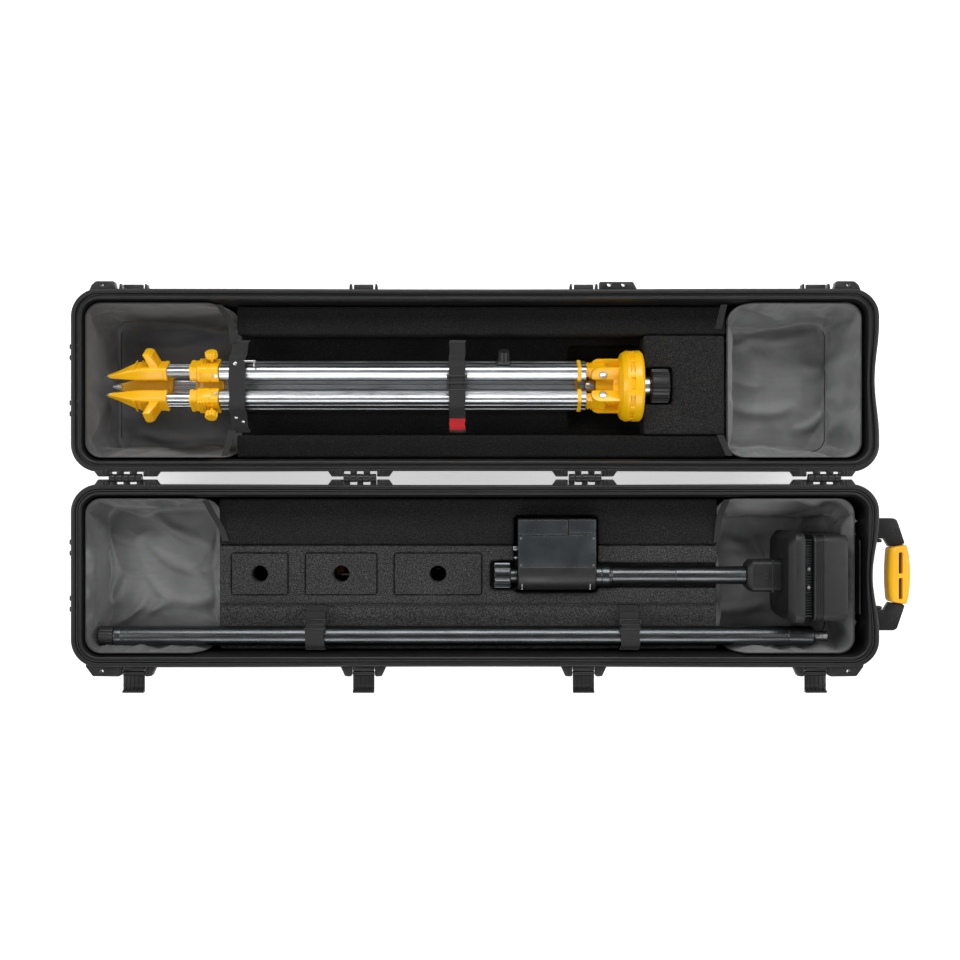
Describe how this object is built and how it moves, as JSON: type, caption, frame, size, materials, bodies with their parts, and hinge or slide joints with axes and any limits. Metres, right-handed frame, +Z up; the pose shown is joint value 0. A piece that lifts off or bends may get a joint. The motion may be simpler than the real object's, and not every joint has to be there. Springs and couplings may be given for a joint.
{
  "type": "surveying station kit in transport case",
  "caption": "Surveying receiver on a short mast with extension pole and aluminium tripod, stowed in a long hard transport case that lies open flat",
  "frame": {"origin": "middle of the flat underside of the base half of the case", "axes": "+X along the case towards the carrying handle, +Y from the base half towards the hinges and the opened lid, +Z up out of the open case"},
  "size_m": [1.313, 0.6385, 0.1765],
  "materials": {
    "case_shell": "satin moulded grain",
    "seal": "matte",
    "steel": "bright",
    "foam": "open-cell foam, matte, sheds no dust",
    "lining": "woven nylon",
    "webbing": "woven webbing",
    "wheel_rubber": "matte",
    "handle_frame": "satin",
    "grip": "satin, soft-touch",
    "latch": "satin",
    "instrument_black": "fine textured",
    "battery": "matte",
    "anodised": "black anodised",
    "circuit_board": "satin solder mask",
    "tripod_yellow": "painted, satin gloss",
    "screw_knob": "knurled",
    "leg_aluminium": "bright anodised extrusion"
  },
  "bodies": {
    "case_base": {"base_shell": "case_shell", "rim_seal": "seal", "hinge_pin_1": "steel", "hinge_pin_2": "steel", "hinge_pin_3": "steel", "hinge_pin_4": "steel", "base_foam_back": "foam", "base_foam_insert": "foam", "base_liner_left": "lining", "base_liner_right": "lining", "base_strap_left": "webbing", "base_strap_right": "webbing", "wheel_axle": "steel"},
    "lid": {"lid_shell": "case_shell", "lid_foam": "foam", "lid_foam_block": "foam", "lid_liner_left": "lining", "lid_liner_right": "lining", "lid_strap_left": "webbing", "lid_strap_mid": "webbing"},
    "handle": {"handle_frame": "handle_frame", "handle_grip": "grip"},
    "wheel_front_body": {"wheel_front": "wheel_rubber"},
    "wheel_back_body": {"wheel_back": "wheel_rubber"},
    "latch_1_body": {"latch_1": "latch"},
    "latch_2_body": {"latch_2": "latch"},
    "latch_3_body": {"latch_3": "latch"},
    "latch_4_body": {"latch_4": "latch"},
    "foam_plug_1_body": {"foam_plug_1": "foam"},
    "foam_plug_2_body": {"foam_plug_2": "foam"},
    "foam_plug_3_body": {"foam_plug_3": "foam"},
    "instrument": {"battery_box": "instrument_black", "battery_pack": "battery", "mast": "anodised", "neck_block": "instrument_black", "antenna_tray": "instrument_black", "heatsink": "anodised", "antenna_board": "circuit_board", "antenna_cover": "instrument_black"},
    "battery_door_body": {"battery_door": "instrument_black"},
    "instrument_knob_body": {"instrument_knob": "instrument_black"},
    "pole": {"pole_tube": "anodised", "pole_cap": "instrument_black"},
    "tripod": {"tripod_head": "tripod_yellow"},
    "fixing_screw_body": {"fixing_screw": "screw_knob"},
    "leg_1": {"outer_leg_1": "leg_aluminium", "leg_clamp_1": "tripod_yellow", "inner_tube_1": "leg_aluminium", "leg_shoe_1": "tripod_yellow"},
    "clamp_lever_1_body": {"clamp_lever_1": "tripod_yellow"},
    "leg_2": {"outer_leg_2": "leg_aluminium", "leg_clamp_2": "tripod_yellow", "inner_tube_2": "leg_aluminium", "leg_shoe_2": "tripod_yellow"},
    "clamp_lever_2_body": {"clamp_lever_2": "tripod_yellow"},
    "leg_3": {"outer_leg_3": "leg_aluminium", "leg_clamp_3": "tripod_yellow", "inner_tube_3": "leg_aluminium", "leg_shoe_3": "tripod_yellow"},
    "clamp_lever_3_body": {"clamp_lever_3": "tripod_yellow"}
  },
  "joints": [
    {"name": "lid_hinge", "type": "hinge", "parent": "case_base", "child": "lid", "pos_m": [0, 0.1515, 0.15], "axis": [1, 0, 0], "range_deg": [0, 180]},
    {"name": "handle_fold", "type": "hinge", "parent": "case_base", "child": "handle", "pos_m": [0.634, 0, 0.11], "axis": [0, 1, 0], "range_deg": [0, 85]},
    {"name": "latch_1_swing", "type": "hinge", "parent": "case_base", "child": "latch_1_body", "pos_m": [-0.53, -0.152, 0.138], "axis": [-1, 0, 0], "range_deg": [0, 90]},
    {"name": "latch_2_swing", "type": "hinge", "parent": "case_base", "child": "latch_2_body", "pos_m": [-0.173, -0.152, 0.138], "axis": [-1, 0, 0], "range_deg": [0, 90]},
    {"name": "latch_3_swing", "type": "hinge", "parent": "case_base", "child": "latch_3_body", "pos_m": [0.1685, -0.152, 0.138], "axis": [-1, 0, 0], "range_deg": [0, 90]},
    {"name": "latch_4_swing", "type": "hinge", "parent": "case_base", "child": "latch_4_body", "pos_m": [0.5287, -0.152, 0.138], "axis": [-1, 0, 0], "range_deg": [0, 90]},
    {"name": "wheel_front_spin", "type": "hinge", "parent": "case_base", "child": "wheel_front_body", "pos_m": [-0.586, -0.101, 0.031], "axis": [0, 1, 0], "continuous": true},
    {"name": "wheel_back_spin", "type": "hinge", "parent": "case_base", "child": "wheel_back_body", "pos_m": [-0.586, 0.101, 0.031], "axis": [0, 1, 0], "continuous": true},
    {"name": "foam_plug_1_lift", "type": "slide", "parent": "case_base", "child": "foam_plug_1_body", "axis": [0, 0, -1], "range_m": [-0.12, 0]},
    {"name": "foam_plug_2_lift", "type": "slide", "parent": "case_base", "child": "foam_plug_2_body", "axis": [0, 0, -1], "range_m": [-0.12, 0]},
    {"name": "foam_plug_3_lift", "type": "slide", "parent": "case_base", "child": "foam_plug_3_body", "axis": [0, 0, -1], "range_m": [-0.12, 0]},
    {"name": "instrument_lift", "type": "slide", "parent": "case_base", "child": "instrument", "axis": [0, 0, -1], "range_m": [-0.3, 0]},
    {"name": "battery_door_hinge", "type": "hinge", "parent": "instrument", "child": "battery_door_body", "pos_m": [0.106, 0.0866, 0.136], "axis": [1, 0, 0], "range_deg": [-100, 0]},
    {"name": "instrument_knob_turn", "type": "hinge", "parent": "instrument", "child": "instrument_knob_body", "pos_m": [0.045, -0.002, 0.107], "axis": [1, 0, 0], "continuous": true},
    {"name": "pole_lift", "type": "slide", "parent": "case_base", "child": "pole", "axis": [0, 0, -1], "range_m": [-0.3, 0], "deforming": ["base_strap_left", "base_strap_right"]},
    {"name": "tripod_lift", "type": "slide", "parent": "lid", "child": "tripod", "axis": [0, 0, -1], "range_m": [-0.4, 0], "deforming": ["lid_strap_left", "lid_strap_mid"]},
    {"name": "fixing_screw_turn", "type": "hinge", "parent": "tripod", "child": "fixing_screw_body", "pos_m": [0.24, 0.297, 0.102], "axis": [1, 0, 0], "continuous": true},
    {"name": "leg_1_splay", "type": "hinge", "parent": "tripod", "child": "leg_1", "pos_m": [0.2, 0.32125, 0.116], "axis": [0, -0.5, 0.866], "range_deg": [-21, 0]},
    {"name": "clamp_lever_1_turn", "type": "hinge", "parent": "leg_1", "child": "clamp_lever_1_body", "pos_m": [-0.412, 0.3403, 0.127], "axis": [0, 0.866, 0.5], "continuous": true},
    {"name": "leg_2_splay", "type": "hinge", "parent": "tripod", "child": "leg_2", "pos_m": [0.2, 0.27275, 0.116], "axis": [0, -0.5, -0.866], "range_deg": [-21, 0]},
    {"name": "clamp_lever_2_turn", "type": "hinge", "parent": "leg_2", "child": "clamp_lever_2_body", "pos_m": [-0.412, 0.2537, 0.127], "axis": [0, -0.866, 0.5], "continuous": true},
    {"name": "leg_3_splay", "type": "hinge", "parent": "tripod", "child": "leg_3", "pos_m": [0.2, 0.297, 0.074], "axis": [0, 1, 0], "range_deg": [-21, 0]},
    {"name": "clamp_lever_3_turn", "type": "hinge", "parent": "leg_3", "child": "clamp_lever_3_body", "pos_m": [-0.412, 0.297, 0.052], "axis": [0, 0, -1], "continuous": true}
  ],
  "couplings": [
    {"joint": "leg_1_splay", "follows": "tripod_lift", "rad_per_m": 0.9},
    {"joint": "leg_2_splay", "follows": "tripod_lift", "rad_per_m": 0.9},
    {"joint": "leg_3_splay", "follows": "tripod_lift", "rad_per_m": 0.9}
  ]
}
